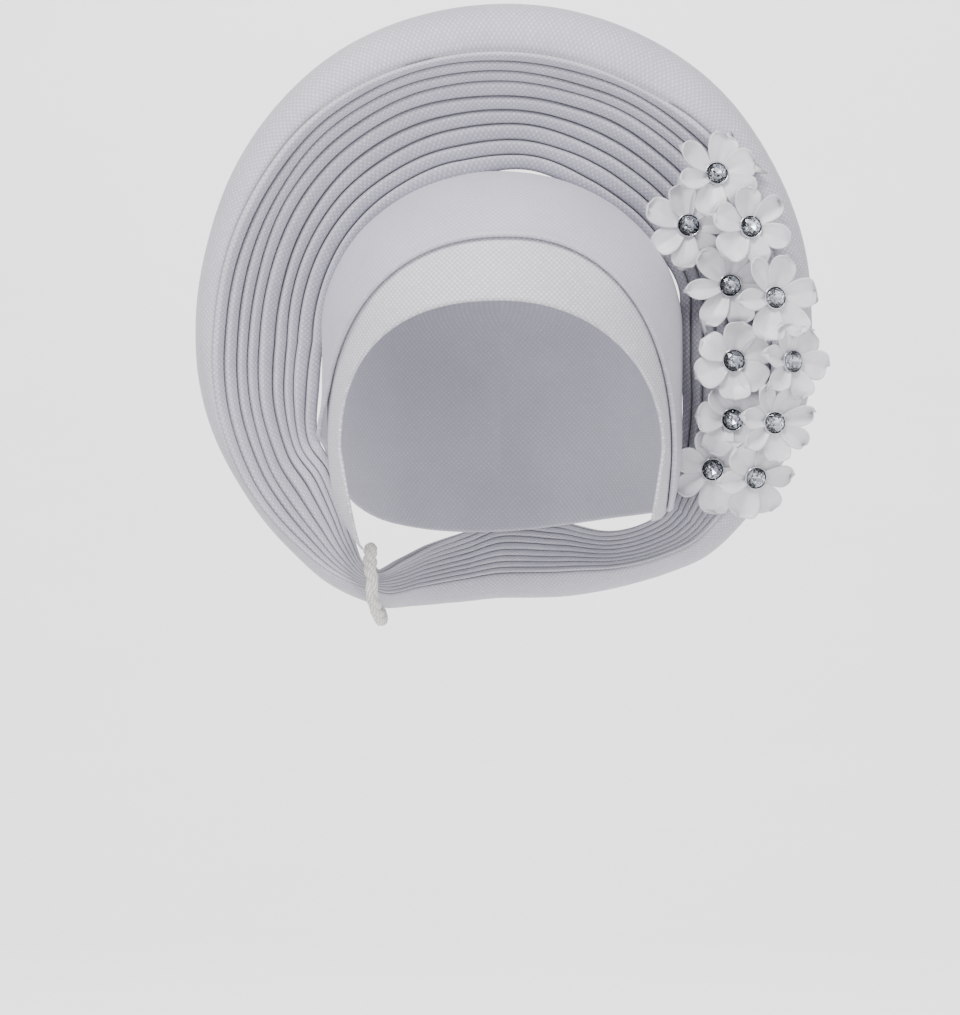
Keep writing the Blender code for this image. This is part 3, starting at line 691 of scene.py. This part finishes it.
def cap_outline(count):
    """The cap's edge as seen from above on the flat map of turn and tilt, from the nape round."""
    hem = arch_on_head(HEM_ARCH, 0.0, "cap", 400)
    start, end = hem[0][0], hem[-1][0]
    line = []
    for side, first, last in ((0, -math.pi, start), (1, end, math.pi)):
        edge = []
        for k in range(121):
            turn = first + (last - first) * k / 120
            edge.append(Vector((turn, math.pi / 2 - 1 - lower_edge("cap", turn) / CROWN_HEIGHT)))
        line += edge + (hem[1:-1] if side == 0 else [])
    flat_map = [Vector((tilt * math.sin(turn), -tilt * math.cos(turn))) for turn, tilt in line]
    return even_line(flat_map, count)


CAP_FLARE = 2.0 * MM  # how far the hem stands out over the wearer's right cheek
CAP_MIDDLE = Vector((0.0, 0.5))  # the rows start behind the seat, from where all edges are seen


def cap_rows(count):
    """Rows of the cap and the turns and tilts of their points, round its whole edge."""
    rows, places = [], []
    outline = cap_outline(count)
    for j, edge in enumerate(outline):
        ray = edge - CAP_MIDDLE
        reach = ray.length * 84 * MM
        row, spots = [], []
        for back, outward in wall_section(reach, 40, CAP_WALL, 0.0, 0.45 * MM, 0.35 * MM):
            x, y = CAP_MIDDLE + ray * (1 - back / reach)
            turn, tilt = math.atan2(x, -y), math.hypot(x, y)
            if j in (0, count):
                turn = math.pi if j else -math.pi
            ripple = 0.35 * MM * noise.noise(Vector((3.1 * x, 1.3 * y, 2.0)))
            outward += ripple * smooth_step(back / (10 * MM))
            aside = math.exp(-(((math.degrees(turn) + 82) / 22) ** 2))
            outward += CAP_FLARE * aside * smooth_step((tilt - 1.95) / 0.3)
            row.append(head_point(turn, tilt, outward))
            spots.append((turn, tilt))
        rows.append(row)
        places.append(spots)
    return rows, places


def band_rows(count):
    """Rows of the band and the turns and tilts of their points, from cheek to cheek."""
    rows, places = [], []
    face_edge = arch_on_head(FACE_ARCH, 0.0, "band", count)
    far_edge = arch_on_head(HEM_ARCH, BAND_UNDERLAP, "band", count)
    for j, (edge, far) in enumerate(zip(face_edge, far_edge)):
        reach = (head_point(*edge, 0.0) - head_point(*far, 0.0)).length
        closing = j in (0, count)
        wall = 0.0 if closing else BAND_WALL
        base = -GAP - 0.1 * MM - BAND_WALL / 2 - wall / 2
        row, spots = [], []
        for back, outward in wall_section(reach, 18, wall, base, 0.0, 0.0 if closing else 0.3 * MM):
            turn, tilt = edge.lerp(far, back / reach)
            row.append(head_point(turn, tilt, outward))
            spots.append((turn, tilt))
        rows.append(row)
        places.append(spots)
    return rows, places


def head_piece(name, rows_and_places, finish, node):
    """A piece of cloth on the head form, with its faces and its cloth area printed."""
    rows, places = rows_and_places
    form = lay_cloth(rows, lambda j, i, low: head_cloth(*places[j][i]))
    piece = add_piece(name, form, finish, [node])
    area = cloth_area(piece)
    print(name, len(piece.data.polygons), "faces,", round(cloth_area(piece), 4), "m2 of cloth")
    return piece


cap = head_piece("crown_cap_cloth", cap_rows(420), cap_cloth, "crown_cap")
band = head_piece("forehead_band_cloth", band_rows(300), band_cloth, "forehead_band")

# %% [markdown]
# ## The tie at the nape
# The gathered end of the fan is held by a cord of three strands of twisted cloth, which goes
# round it as a closed loop. Its path is a rounded square that clears the gathered pleats. Each
# strand is a tube that winds round that path, and the strands press each other flat a little.

# %% Twisted tie
TIE_ANGLE = 243.4
TIE_LEAN = 4.0  # degrees to its two ends
TIE_SPAN = 1.5
TIE_RADIUS = 2.3 * MM
TIE_SWELL = 1.3  # the widest radius, as a share of the plain one
TIE_SQUARENESS = 3.0
TIE_STRANDS = 3
TIE_TURNS = 6
STRAND_RADIUS = 1.55 * MM
STRAND_OFFSET = 1.35 * MM


def signed_power(value, power):
    return math.copysign(abs(value) ** power, value)


def gathered_size(angle):
    """The middle and the half extents of the gathered cloth near an angle, out and along Y."""
    middle_line = Vector((FAN_CENTRE[0], 0, FAN_CENTRE[1]))
    radial = Vector((math.cos(math.radians(angle)), 0, math.sin(math.radians(angle))))
    turns = (-TIE_SPAN, 0.0, TIE_SPAN)
    held = [point - middle_line for turn in turns for point in fan_section(angle + turn)[0]]
    radii = [point.dot(radial) for point in held]
    depths = [point.y for point in held]
    middle = ((min(radii) + max(radii)) / 2, (min(depths) + max(depths)) / 2)
    half = ((max(radii) - min(radii)) / 2, (max(depths) - min(depths)) / 2)
    widest = max(
        abs((out - middle[0]) / half[0]) ** TIE_SQUARENESS
        + abs((y - middle[1]) / half[1]) ** TIE_SQUARENESS
        for out, y in zip(radii, depths)
    )
    grow = widest ** (1 / TIE_SQUARENESS)
    return middle, (half[0] * grow, half[1] * grow)


def tie_place(turn):
    """A place on the tie's path, clear of the gathered cloth."""
    angle = TIE_ANGLE + TIE_LEAN * math.cos(turn)
    middle, half = gathered_size(angle)
    room = TIE_RADIUS * TIE_SWELL + GAP
    out = middle[0] + (half[0] + room) * signed_power(math.cos(turn), 2 / TIE_SQUARENESS)
    y = middle[1] + (half[1] + room) * signed_power(math.sin(turn), 2 / TIE_SQUARENESS)
    return place({"angle": math.radians(angle)}, out, y)


def strand_rows(path, strand, sides):
    """Rings of points round one strand, all along the loop."""
    angle = math.radians(TIE_ANGLE)
    along = Vector((-math.sin(angle), 0, math.cos(angle)))
    rounds = len(path)
    rows = []
    for j in range(rounds + 1):
        turn = math.tau * (j % rounds) / rounds
        tangent = (path[(j + 1) % rounds] - path[(j - 1) % rounds]).normalized()
        side = tangent.cross(along).normalized()
        upright = side.cross(tangent)
        twist = TIE_TURNS * turn + math.tau * strand / TIE_STRANDS
        outward = side * math.cos(twist) + upright * math.sin(twist)
        across = upright * math.cos(twist) - side * math.sin(twist)
        middle = path[j % rounds] + outward * STRAND_OFFSET
        crumple = 1 + 0.09 * noise.noise(Vector((9 * math.cos(turn), 9 * math.sin(turn), strand)))
        ring = []
        for k in range(sides + 1):
            angle = math.tau * (k % sides) / sides
            flat = 0.9 if math.cos(angle) < 0 else 1.0
            offset = outward * math.cos(angle) * flat + across * math.sin(angle) * 1.12
            ring.append(middle + offset * STRAND_RADIUS * crumple)
        rows.append(ring)
    return rows


def join_forms(forms):
    """Several bmeshes as one, with their UV maps."""
    whole = bmesh.new()
    for form in forms:
        part = bpy.data.meshes.new("part")
        form.to_mesh(part)
        form.free()
        whole.from_mesh(part)
        bpy.data.meshes.remove(part)
    return whole


def cord_finish():
    """Off-white twisted cloth: fine slanting threads along each strand."""
    finish, tree, shader = new_finish("twisted_cloth_cord")
    uv = add_node(tree, "ShaderNodeUVMap", uv_map="cloth")
    threads = add_node(tree, "ShaderNodeTexWave", {"Vector": uv.outputs["UV"]},
                       {"Scale": 1 / (math.tau * 0.42 * MM), "Distortion": 0.8, "Detail": 1.0},
                       bands_direction="DIAGONAL")
    colour = add_node(tree, "ShaderNodeMix", {"Factor": threads.outputs["Fac"]},
                      {"A": linear("#bdb9b2"), "B": linear("#ebe8e2")}, data_type="RGBA")
    tree.links.new(colour.outputs["Result"], shader.inputs["Base Color"])
    bump = add_node(tree, "ShaderNodeBump", {"Height": threads.outputs["Fac"]},
                    {"Strength": 0.5, "Distance": 0.12 * MM})
    tree.links.new(bump.outputs[0], shader.inputs["Normal"])
    shader.inputs["Roughness"].default_value = 0.55
    shader.inputs["Sheen Weight"].default_value = 0.15
    return finish


tie_path = [tie_place(math.tau * k / 240) for k in range(240)]
tie_length = sum((tie_path[k] - tie_path[k - 1]).length for k in range(240))
strands = []
for strand in range(TIE_STRANDS):
    rows = strand_rows(tie_path, strand, 14)
    strands.append(lay_cloth(rows, lambda j, i, low: (
        math.tau * STRAND_RADIUS * i / 14, tie_length * j / 240)))
tie = add_piece("twisted_nape_tie", join_forms(strands), cord_finish(), ["nape_tie"])
print("tie: closed loop,", round(tie_length / MM), "mm round")

# %% [markdown]
# ## The satin flowers
# Each flower is gathered from separate pieces of satin ribbon. The ends of a piece are drawn
# together under the stone and its free end is heat-set to a cupped, rounded petal with a lit,
# slightly thick edge. A petal starts as a flat grid, is given its outline and cup by a short
# formula, gets its thickness from solidify, and overlaps its neighbour like a tile. The solids
# say where each flower sits: its middle is found from the metal cup's box.

# %% Petals
FLOWER_COLUMNS = ("reach", "right", "up", "petals", "spin", "front")
FLOWERS = (
    (21.5, 12, 12, 6, 20, 0),
    (21.5, 2, 6, 7, 5, 3),
    (20.5, 14, 6, 6, 40, 1),
    (21.0, 8, 2, 7, 30, 3),
    (20.5, 20, 2, 6, 10, 1),
    (19.5, 6, 0, 6, 25, 3),
    (18.0, 30, 0, 6, 50, 0),
    (18.5, 6, -4, 6, 0, 1),
    (19.0, 18, -4, 7, 15, 2),
    (20.0, 4, -10, 6, 35, 3),
    (19.0, 20, -12, 6, 5, 1),
)
CUP_FOOT = 0.3 * MM
CUP_HEIGHT = 2.6 * MM
PETAL_SQUARES = 14
PETAL_WALL = 0.45 * MM
PETAL_CLEAR = 0.7 * MM


def flower_frame(number):
    """The middle of a flower, where it faces, and the directions across and up."""
    size = dict(zip(FLOWER_COLUMNS, FLOWERS[number]))
    right, up = math.radians(size["right"]), math.radians(size["up"])
    facing = Vector((math.sin(right) * math.cos(up), -math.cos(right) * math.cos(up), math.sin(up)))
    across = Vector((0, 0, 1)).cross(facing).normalized()
    low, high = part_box(f"setting_{number + 1:02d}")
    middle = (low + high) / 2 - facing * (CUP_FOOT + CUP_HEIGHT) / 2
    return middle, facing, across, facing.cross(across)


def petal_height(along, across, style):
    """How high a place on a petal stands: along from 0 at the root, across from -1 to 1."""
    rise = style["rise"] * math.sin(math.pi / 2 * along) ** 1.3 - style["fall"] * along**3
    cup = style["cup"] * abs(across) ** 2.3 * (0.35 + 0.65 * along)
    tip = style["tip"] * max(0.0, along - 0.75) ** 2 * 16
    crease = -0.7 * math.exp(-((across / 0.22) ** 2)) * (1 - 0.6 * along)
    lean = style["lean"] * across * (0.35 + 0.65 * along)
    wave = 0.45 * math.sin(2.6 * across + style["phase"]) * along**2
    return (0.6 + rise + cup + tip + crease + lean + wave) * MM


def petal_half_width(along, style):
    widen = 0.34 + 0.66 * math.sin(math.pi / 2 * min(1.0, along / 0.6))
    past = max(0.0, (along - 0.6) / 0.4)
    return style["half"] * MM * widen * (1 - past ** style["blunt"]) ** 0.45


def neighbour_shift(number, point, frames):
    """How far a petal is pushed back or forward where it meets another flower."""
    middle = frames[number][0]
    shift = 0.0
    for other, frame in enumerate(frames):
        if other == number:
            continue
        away = frame[0] - middle
        past = (point - middle).dot(away) / away.length - 0.42 * away.length
        if past > 0:
            ahead = FLOWERS[number][5] - FLOWERS[other][5] or number - other
            shift += (0.5 if ahead > 0 else -0.75) * past
    return shift


def build_petal(number, k, frames, style, fan_faces):
    """One petal of a flower as a closed form."""
    middle, facing, across_way, up_way = frames[number]
    angle = style["angle"]
    out_way = across_way * math.cos(angle) + up_way * math.sin(angle)
    side_way = facing.cross(out_way)
    rows = []
    for j in range(PETAL_SQUARES + 1):
        along = (j / PETAL_SQUARES) ** 0.85
        half = petal_half_width(along, style)
        out = (3.2 + (style["reach"] - 3.2) * along) * MM
        row = []
        for i in range(PETAL_SQUARES + 1):
            across = 2 * i / PETAL_SQUARES - 1
            back = 1 - 0.06 * across**2 * along
            point = middle + out_way * out * back + side_way * half * across
            height = petal_height(along, across, style)
            height += neighbour_shift(number, point, frames) * smooth_step((out / MM - 7) / 6)
            point += facing * height
            hit = fan_faces.ray_cast(Vector((point.x, -0.3, point.z)), Vector((0, 1, 0)))[0]
            if hit is not None:
                point.y = min(point.y, hit.y - PETAL_CLEAR - PETAL_WALL)
            row.append(point)
        rows.append(row)
    size = style["reach"] * MM / PETAL_SQUARES
    form = lay_cloth(rows, lambda j, i, low: (i * size, j * size))
    sheet = form.faces[:]
    facing_back = sum((face.normal for face in sheet), Vector()).dot(facing) < 0
    if facing_back:
        bmesh.ops.reverse_faces(form, faces=sheet)
    bmesh.ops.solidify(form, geom=sheet, thickness=PETAL_WALL)
    bmesh.ops.recalc_face_normals(form, faces=form.faces)
    return form


def petal_styles(number):
    """The petals of one flower, each a little different, always the same on every run."""
    chance = random.Random(40 + number)
    size = dict(zip(FLOWER_COLUMNS, FLOWERS[number]))
    styles = []
    for k in range(size["petals"]):
        turn = 360 * k / size["petals"] + size["spin"] + chance.uniform(-6, 6)
        pinched = chance.random() < 0.3
        styles.append({
            "angle": math.radians(turn),
            "reach": size["reach"] * chance.uniform(0.88, 1.03),
            "half": (5.2 if pinched else 6.9) * chance.uniform(0.92, 1.08) * 6 / size["petals"],
            "blunt": 1.8 if pinched else 3.2,
            "rise": chance.uniform(2.2, 4.2),
            "fall": chance.uniform(0.6, 3.0),
            "cup": (3.4 if pinched else 1.9) * chance.uniform(0.8, 1.2),
            "tip": chance.uniform(-1.2, 1.4),
            "lean": chance.uniform(0.9, 1.5),
            "phase": chance.uniform(0, 6.2),
        })
    return styles


def satin_finish():
    """White satin ribbon: fine lengthwise threads and a soft, broad shine."""
    finish, tree, shader = new_finish("white_satin_ribbon")
    uv = add_node(tree, "ShaderNodeUVMap", uv_map="cloth")
    threads = add_node(tree, "ShaderNodeTexWave", {"Vector": uv.outputs["UV"]},
                       {"Scale": 1 / (math.tau * 0.3 * MM), "Distortion": 0.6, "Detail": 1.0})
    soft = add_node(tree, "ShaderNodeTexNoise", {"Vector": uv.outputs["UV"]},
                    {"Scale": 1 / (7 * MM), "Detail": 2.0})
    colour = add_node(tree, "ShaderNodeMix", {"Factor": soft.outputs["Fac"]},
                      {"A": linear("#d2d0d6"), "B": linear("#eae8ec")}, data_type="RGBA")
    tree.links.new(colour.outputs["Result"], shader.inputs["Base Color"])
    bump = add_node(tree, "ShaderNodeBump", {"Height": threads.outputs["Fac"]},
                    {"Strength": 0.25, "Distance": 0.05 * MM})
    tree.links.new(bump.outputs[0], shader.inputs["Normal"])
    shader.inputs["Roughness"].default_value = 0.36
    shader.inputs["Sheen Weight"].default_value = 0.2
    shader.inputs["Subsurface Weight"].default_value = 0.0
    return finish


satin = satin_finish()
frames = [flower_frame(number) for number in range(len(FLOWERS))]
flowers = []
for number in range(len(FLOWERS)):
    petals = [build_petal(number, k, frames, style, fan_faces)
              for k, style in enumerate(petal_styles(number))]
    flower = add_piece(f"satin_flower_{number + 1:02d}", join_forms(petals), satin,
                       [f"flower_{number + 1:02d}"])
    area = cloth_area(flower)
    flowers.append(flower)
print("petals:", sum(row[3] for row in FLOWERS), "in", len(flowers), "flowers")

# %% [markdown]
# ## Cups and stones
# A chrome cup with a rolled lip holds each stone. A turned thing is made as it is turned on a
# lathe: half a profile is spun round its axis. The stone is a round brilliant, whose facets are
# exactly the flat sides of the convex hull round its corners: an eight-sided table, eight kites,
# the girdle and the pointed back. The back is silvered like a mirror, as such stones are, and it
# is what makes them sparkle.

# %% Cups and stones
CUP_PROFILE = (
    (0.0, 0.3), (4.6, 0.3), (5.0, 0.55), (5.2, 1.3), (5.3, 2.1), (5.32, 2.5), (5.2, 2.78),
    (4.98, 2.85), (4.78, 2.72), (4.62, 2.45), (4.45, 2.2), (3.2, 1.5), (1.5, 0.8), (0.0, 0.75),
)
STONE_COLUMNS = ("corners", "radius", "height", "turn")
STONE_RINGS = (
    (8, 2.35, 4.15, 0.0),
    (8, 3.3, 3.75, 22.5),
    (16, 4.2, 3.0, 0.0),
    (16, 4.2, 2.78, 0.0),
    (8, 2.3, 1.75, 0.0),
    (1, 0.0, 1.0, 0.0),
)


def chrome_finish():
    """Bright plated metal, with the faintest unevenness of its polish."""
    finish, tree, shader = new_finish("polished_chrome")
    spot = add_node(tree, "ShaderNodeTexCoord")
    haze = add_node(tree, "ShaderNodeTexNoise", {"Vector": spot.outputs["Object"]},
                    {"Scale": 1 / (2 * MM), "Detail": 2.0})
    rough = add_node(tree, "ShaderNodeMapRange", {"Value": haze.outputs["Fac"]},
                     {"To Min": 0.06, "To Max": 0.16})
    tree.links.new(rough.outputs[0], shader.inputs["Roughness"])
    shader.inputs["Base Color"].default_value = linear("#c9cacf")
    shader.inputs["Metallic"].default_value = 1.0
    return finish


def glass_finish():
    """Clear cut glass."""
    finish, tree, shader = new_finish("cut_glass_stone")
    shader.inputs["Base Color"].default_value = linear("#f7f9fc")
    shader.inputs["Roughness"].default_value = 0.01
    shader.inputs["IOR"].default_value = 1.58
    shader.inputs["Transmission Weight"].default_value = 1.0
    return finish


def foil_finish():
    """The silvered back of the stone."""
    finish, tree, shader = new_finish("silvered_back")
    shader.inputs["Base Color"].default_value = linear("#dfe1e6")
    shader.inputs["Metallic"].default_value = 1.0
    shader.inputs["Roughness"].default_value = 0.05
    return finish


def in_frame(form, frame):
    """Move a form that stands along Z round its middle into a flower's frame."""
    middle, facing, across, upward = frame
    for corner in form.verts:
        x, y, z = corner.co
        corner.co = middle + across * x + upward * y + facing * z


def build_cup(frame):
    form = bmesh.new()
    profile = [form.verts.new((radius * MM, 0, height * MM)) for radius, height in CUP_PROFILE]
    edges = [form.edges.new(pair) for pair in zip(profile, profile[1:])]
    bmesh.ops.spin(form, geom=profile + edges, cent=(0, 0, 0), axis=(0, 0, 1), angle=math.tau,
                   steps=40, use_merge=True)
    bmesh.ops.remove_doubles(form, verts=form.verts, dist=1e-6)
    bmesh.ops.recalc_face_normals(form, faces=form.faces)
    in_frame(form, frame)
    return form


def build_stone(frame):
    form = bmesh.new()
    for count, radius, height, turn in STONE_RINGS:
        for k in range(count):
            angle = math.radians(turn) + math.tau * k / count
            form.verts.new((radius * MM * math.cos(angle), radius * MM * math.sin(angle), height * MM))
    bmesh.ops.convex_hull(form, input=form.verts)
    bmesh.ops.recalc_face_normals(form, faces=form.faces)
    in_frame(form, frame)
    return form


chrome, glass, foil = chrome_finish(), glass_finish(), foil_finish()
for number, frame in enumerate(frames):
    tag = f"{number + 1:02d}"
    add_piece(f"chrome_cup_{tag}", build_cup(frame), chrome, [f"setting_{tag}"])
    stone = add_piece(f"cut_stone_{tag}", build_stone(frame), glass,
                      [f"stone_{tag}"], smooth=False)
    stone.data.materials.append(foil)
    for face in stone.data.polygons:
        face.material_index = 1 if face.normal.dot(frame[1]) < -0.1 else 0
print("cups and stones:", len(frames))

# %% [markdown]
# ## Lights, floor and camera
# A white studio: a pale floor that sweeps up behind, a broad soft light from the upper front,
# a fill from the other side and a pale sky. The camera stands in front of the face with a long
# lens, and one pixel of the 960 x 1015 picture is 0.45 mm at the plane of the ears.

# %% Studio
PICTURE = (960, 1015)
PIXEL = 0.45 * MM
CAMERA_PLACE = (-9.9 * MM, -1600 * MM, -148.95 * MM)


def studio_floor():
    """A floor that curves up into a backdrop, made by spinning an edge and extruding it."""
    form = bmesh.new()
    bmesh.ops.create_grid(form, x_segments=1, y_segments=1, size=1)
    for corner in form.verts:
        corner.co = Vector((corner.co.x * 6, -3.0 if corner.co.y < 0 else 2.2, 0))
    far = [edge for edge in form.edges if all(corner.co.y > 0 for corner in edge.verts)]
    bend = bmesh.ops.spin(form, geom=far + list({c for e in far for c in e.verts}),
                          cent=(0, 2.2, 1.2), axis=(1, 0, 0), angle=math.radians(90), steps=16)
    top = [item for item in bend["geom_last"] if isinstance(item, bmesh.types.BMEdge)]
    raised = bmesh.ops.extrude_edge_only(form, edges=top)
    for item in raised["geom"]:
        if isinstance(item, bmesh.types.BMVert):
            item.co.z += 4.0
    bmesh.ops.translate(form, verts=form.verts, vec=(0, 0, -0.62))
    bmesh.ops.recalc_face_normals(form, faces=form.faces)
    mesh = bpy.data.meshes.new("studio_floor")
    for face in form.faces:
        face.smooth = True
    form.to_mesh(mesh)
    form.free()
    floor = bpy.data.objects.new("studio_floor", mesh)
    bpy.context.scene.collection.objects.link(floor)
    finish, tree, shader = new_finish("matt_white_paper")
    grain = add_node(tree, "ShaderNodeTexNoise", values={"Scale": 60.0})
    tone = add_node(tree, "ShaderNodeMapRange", {"Value": grain.outputs["Fac"]},
                    {"To Min": 0.86, "To Max": 0.9})
    tree.links.new(tone.outputs[0], shader.inputs["Base Color"])
    shader.inputs["Roughness"].default_value = 0.9
    mesh.materials.append(finish)
    return floor


def soft_light(name, place_m, aim_m, size, power):
    lamp = bpy.data.lights.new(name, "AREA")
    lamp.shape = "RECTANGLE"
    lamp.size, lamp.size_y = size
    lamp.energy = power
    light = bpy.data.objects.new(name, lamp)
    bpy.context.scene.collection.objects.link(light)
    light.location = place_m
    direction = Vector(aim_m) - Vector(place_m)
    light.rotation_euler = direction.to_track_quat("-Z", "Y").to_euler()
    return light


studio_floor()
soft_light("key_light", (-0.5, -1.25, 1.6), (0, 0, -0.06), (0.9, 0.9), 62)
soft_light("fill_light", (1.5, -1.5, 0.2), (0, 0, -0.06), (1.0, 1.2), 14)
soft_light("low_light", (-0.9, -1.6, -0.2), (0, 0, -0.08), (0.9, 0.6), 7)
soft_light("backdrop_light", (0.0, 0.8, 1.5), (0, 3.4, 0.3), (2.4, 1.0), 150)

world = bpy.context.scene.world or bpy.data.worlds.new("pale_sky")
bpy.context.scene.world = world
world.use_nodes = True
world.node_tree.nodes["Background"].inputs["Color"].default_value = linear("#f4f5f8")
world.node_tree.nodes["Background"].inputs["Strength"].default_value = 0.7

lens = bpy.data.cameras.new("camera")
camera = bpy.data.objects.new("camera", lens)
bpy.context.scene.collection.objects.link(camera)
camera.location = CAMERA_PLACE
camera.rotation_euler = (math.radians(90), 0, 0)
lens.sensor_width = 36.0
lens.lens = 36.0 * -CAMERA_PLACE[1] / (PICTURE[1] * PIXEL)
lens.clip_start = 0.1
lens.clip_end = 20.0
bpy.context.scene.camera = camera
print("lens:", round(lens.lens, 1), "mm")
